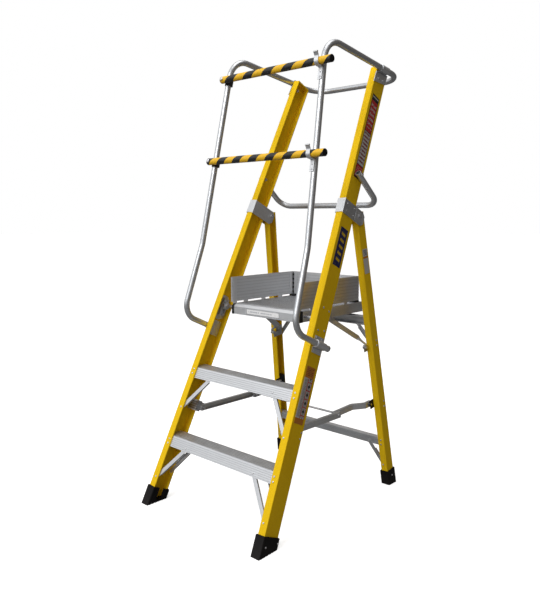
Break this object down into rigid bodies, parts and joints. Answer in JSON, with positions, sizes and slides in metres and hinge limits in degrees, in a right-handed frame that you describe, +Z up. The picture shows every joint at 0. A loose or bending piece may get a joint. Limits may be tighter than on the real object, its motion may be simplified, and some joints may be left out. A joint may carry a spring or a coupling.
{
  "type": "platform step ladder",
  "caption": "Folding fibreglass platform step ladder with a guard rail, toe boards and drop-in gate bars.",
  "frame": {"origin": "on the floor, at the centre of the footprint box of the open ladder", "axes": "+Z up, +X to the right of a climber facing the steps, the climbing side faces -Y"},
  "size_m": [0.7159, 1.0904, 1.9564],
  "materials": {
    "yellow_fibreglass": "satin pultruded fibreglass, finely mottled",
    "aluminium": "mill finish",
    "plated_steel": "bright plated",
    "black_plastic": "moulded, slightly textured",
    "black_rubber": "moulded rubber",
    "hazard_paint": "yellow with diagonal black bands",
    "label_red": "printed film, blank blocks",
    "label_blue": "printed film, blank",
    "label_grey": "printed film, blank blocks",
    "label_white": "printed film, blank"
  },
  "bodies": {
    "front_frame": {"front_stile_left": "yellow_fibreglass", "front_stile_right": "yellow_fibreglass", "front_feet": "black_rubber", "lower_step": "aluminium", "upper_step": "aluminium", "stile_top_caps": "yellow_fibreglass", "step_braces": "aluminium", "front_frame_rivets": "plated_steel", "platform_brackets": "aluminium", "platform_pivot_pins": "plated_steel", "hinge_bracket_left": "aluminium", "hinge_bracket_right": "aluminium", "front_frame_pins": "plated_steel", "guard_rail": "aluminium", "guard_rail_plugs": "black_plastic", "guard_rail_saddles": "aluminium", "guard_rail_top_brackets": "aluminium", "guard_rail_screws": "plated_steel", "knee_rail": "aluminium", "knee_rail_bolts": "plated_steel", "gate_pivot_clips": "black_plastic", "gate_pivot_bolts": "plated_steel", "gate_hook_upper": "aluminium", "gate_hook_lower": "aluminium", "spreader_front_brackets": "aluminium", "rating_label": "label_red", "name_label": "label_blue", "safety_label": "label_grey"},
    "rear_frame": {"rear_leg_left": "yellow_fibreglass", "rear_leg_right": "yellow_fibreglass", "rear_feet": "black_rubber", "hinge_bushes": "black_plastic", "rear_lower_bar": "aluminium", "rear_upper_bar": "aluminium", "rear_braces": "aluminium", "rear_frame_rivets": "plated_steel", "rear_frame_pins": "plated_steel", "rear_link_brackets": "black_plastic", "rear_spreader_brackets": "black_plastic", "rear_leg_label": "label_grey"},
    "platform": {"platform_deck": "aluminium", "platform_nosing": "aluminium", "platform_rear_channel": "aluminium", "platform_side_rails": "aluminium", "platform_corner_caps": "black_plastic", "platform_label": "label_white", "toe_board_left": "aluminium", "toe_board_right": "aluminium", "toe_board_rear": "aluminium", "toe_board_posts": "aluminium", "link_pins_upper": "plated_steel"},
    "platform_links": {"platform_links": "aluminium"},
    "spreader_front": {"spreader_front_arms": "aluminium", "spreader_pins": "plated_steel"},
    "spreader_rear": {"spreader_rear_arms": "aluminium", "spreader_cross_tie": "plated_steel"},
    "gate_upper": {"gate_bar_upper": "hazard_paint", "gate_bar_upper_caps": "black_plastic"},
    "gate_lower": {"gate_bar_lower": "hazard_paint", "gate_bar_lower_caps": "black_plastic"}
  },
  "joints": [
    {"name": "rear_fold", "type": "hinge", "parent": "front_frame", "child": "rear_frame", "pos_m": [0, 0.1795, 1.2527], "axis": [1, 0, 0], "range_deg": [-28, 0]},
    {"name": "platform_fold", "type": "hinge", "parent": "front_frame", "child": "platform", "pos_m": [0, -0.0965, 0.838], "axis": [1, 0, 0], "range_deg": [0, 54.1]},
    {"name": "link_fold", "type": "hinge", "parent": "rear_frame", "child": "platform_links", "pos_m": [0, 0.235, 0.668], "axis": [1, 0, 0], "range_deg": [-34.5, 0]},
    {"name": "spreader_front_fold", "type": "hinge", "parent": "front_frame", "child": "spreader_front", "pos_m": [0, -0.2625, 0.392], "axis": [1, 0, 0], "range_deg": [0, 49.1]},
    {"name": "spreader_rear_fold", "type": "hinge", "parent": "rear_frame", "child": "spreader_rear", "pos_m": [0, 0.2775, 0.396], "axis": [1, 0, 0], "range_deg": [-90.4, 0]},
    {"name": "gate_upper_lift", "type": "hinge", "parent": "front_frame", "child": "gate_upper", "pos_m": [-0.2673, -0.10457, 1.85199], "axis": [0, -0.9822, 0.1877], "range_deg": [0, 80]},
    {"name": "gate_lower_lift", "type": "hinge", "parent": "front_frame", "child": "gate_lower", "pos_m": [-0.28588, -0.17316, 1.49299], "axis": [0, -0.9822, 0.1877], "range_deg": [0, 80]}
  ],
  "couplings": [
    {"joint": "platform_fold", "follows": "rear_fold", "ratio": -1.932},
    {"joint": "link_fold", "follows": "rear_fold", "ratio": 1.232},
    {"joint": "spreader_front_fold", "follows": "rear_fold", "ratio": -1.753},
    {"joint": "spreader_rear_fold", "follows": "rear_fold", "ratio": 3.225},
    {"joint": "gate_lower_lift", "follows": "gate_upper_lift", "ratio": 1}
  ]
}
